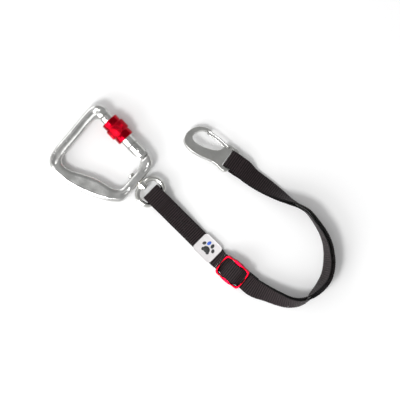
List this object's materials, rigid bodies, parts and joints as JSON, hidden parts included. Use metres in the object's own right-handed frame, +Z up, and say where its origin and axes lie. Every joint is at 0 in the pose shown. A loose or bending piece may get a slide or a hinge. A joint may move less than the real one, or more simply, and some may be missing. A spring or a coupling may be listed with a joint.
{
  "type": "dog car safety tether",
  "caption": "Short adjustable webbing tether with a screw-lock carabiner on a swivel eye at one end and a flat wire-gate hook at the other.",
  "frame": {"origin": "middle of the bounding box's base, on the floor that the tether lies on", "axes": "+X along the swivel's axis from the carabiner to the webbing, +Z up from the floor, +Y towards the hook's side"},
  "size_m": [0.311, 0.1436, 0.022],
  "materials": {
    "polished_aluminium": "polished cast aluminium with soft highlights",
    "satin_aluminium": "fine blasted satin aluminium with a bright edge",
    "plated_steel": "bright nickel plating",
    "spring_steel": "drawn stainless steel",
    "red_anodised": "red anodised aluminium, turned or cast",
    "webbing": "ribbed brown-black nylon webbing",
    "thread": "black bonded nylon thread",
    "label_rubber": "matt off-white soft rubber with a raised border",
    "nylon": "natural nylon washer",
    "black_rubber": "black nitrile rubber"
  },
  "bodies": {
    "webbing": {"webbing_eye_loop": "webbing", "box_stitch_top": "thread", "box_stitch_bottom": "thread", "webbing_lead": "webbing", "label_sleeve": "label_rubber", "webbing_upper_run": "webbing", "webbing_lower_run": "webbing", "webbing_hook_loop": "webbing"},
    "eye": {"swivel_eye": "plated_steel", "swivel_post": "plated_steel"},
    "carabiner": {"carabiner_body": "polished_aluminium", "swivel_washer": "nylon"},
    "gate": {"gate_barrel": "polished_aluminium", "gate_rivet": "spring_steel", "latch_pin": "spring_steel", "gate_spring": "spring_steel", "sleeve_stop_ring": "spring_steel"},
    "plunger": {"gate_plunger": "spring_steel"},
    "sleeve_ring": {"sleeve_o_ring": "black_rubber"},
    "sleeve": {"lock_sleeve": "red_anodised"},
    "slider": {"slider_frame": "red_anodised", "webbing_slider_run": "webbing", "webbing_sewn_end": "webbing", "end_bartack": "thread"},
    "hook": {"hook_body": "satin_aluminium"},
    "hook_gate": {"hook_gate_wire": "spring_steel"}
  },
  "joints": [
    {"name": "eye_tilt", "type": "hinge", "parent": "webbing", "child": "eye", "pos_m": [-0.03971, -0.02158, 0.00913], "axis": [0, 1, 0], "range_deg": [-25, 25]},
    {"name": "swivel_turn", "type": "hinge", "parent": "eye", "child": "carabiner", "pos_m": [-0.06471, -0.02158, 0.00913], "axis": [1, 0, 0], "continuous": true},
    {"name": "gate_open", "type": "hinge", "parent": "carabiner", "child": "gate", "pos_m": [-0.08691, 0.00405, 0.01102], "axis": [0, -0.0736, 0.9973], "range_deg": [0, 24], "stiffness_Nm_per_rad": 0.2, "springref_deg": -17.19, "deforming": ["gate_spring"]},
    {"name": "plunger_slide", "type": "slide", "parent": "gate", "child": "plunger", "axis": [-0.9945, 0.1042, 0.0077], "range_m": [0, 0.00085]},
    {"name": "sleeve_travel", "type": "slide", "parent": "gate", "child": "sleeve_ring", "axis": [-0.9945, 0.1042, 0.0077], "range_m": [-0.008, 0.0085]},
    {"name": "sleeve_turn", "type": "hinge", "parent": "sleeve_ring", "child": "sleeve", "pos_m": [-0.08704, 0.00286, 0.01093], "axis": [-0.9945, 0.1042, 0.0077], "range_deg": [-961, 1021]},
    {"name": "slider_slide", "type": "slide", "parent": "webbing", "child": "slider", "axis": [0.996, 0.0174, 0.0872], "range_m": [-0.006, 0.006], "deforming": ["webbing_lead", "webbing_upper_run", "webbing_lower_run"]},
    {"name": "hook_tilt", "type": "hinge", "parent": "webbing", "child": "hook", "pos_m": [-0.00376, 0.05762, 0.00832], "axis": [-0.0819, 0.9361, -0.342], "range_deg": [-60, 60]},
    {"name": "hook_gate_open", "type": "hinge", "parent": "hook", "child": "hook_gate", "pos_m": [-0.01718, 0.06588, 0.0049], "axis": [-0.0298, 0.3407, 0.9397], "range_deg": [0, 22], "stiffness_Nm_per_rad": 0.05, "springref_deg": -17.19}
  ],
  "couplings": [
    {"joint": "plunger_slide", "follows": "gate_open", "m_per_rad": 0.002},
    {"joint": "sleeve_turn", "follows": "sleeve_travel", "rad_per_m": 2094.4}
  ]
}
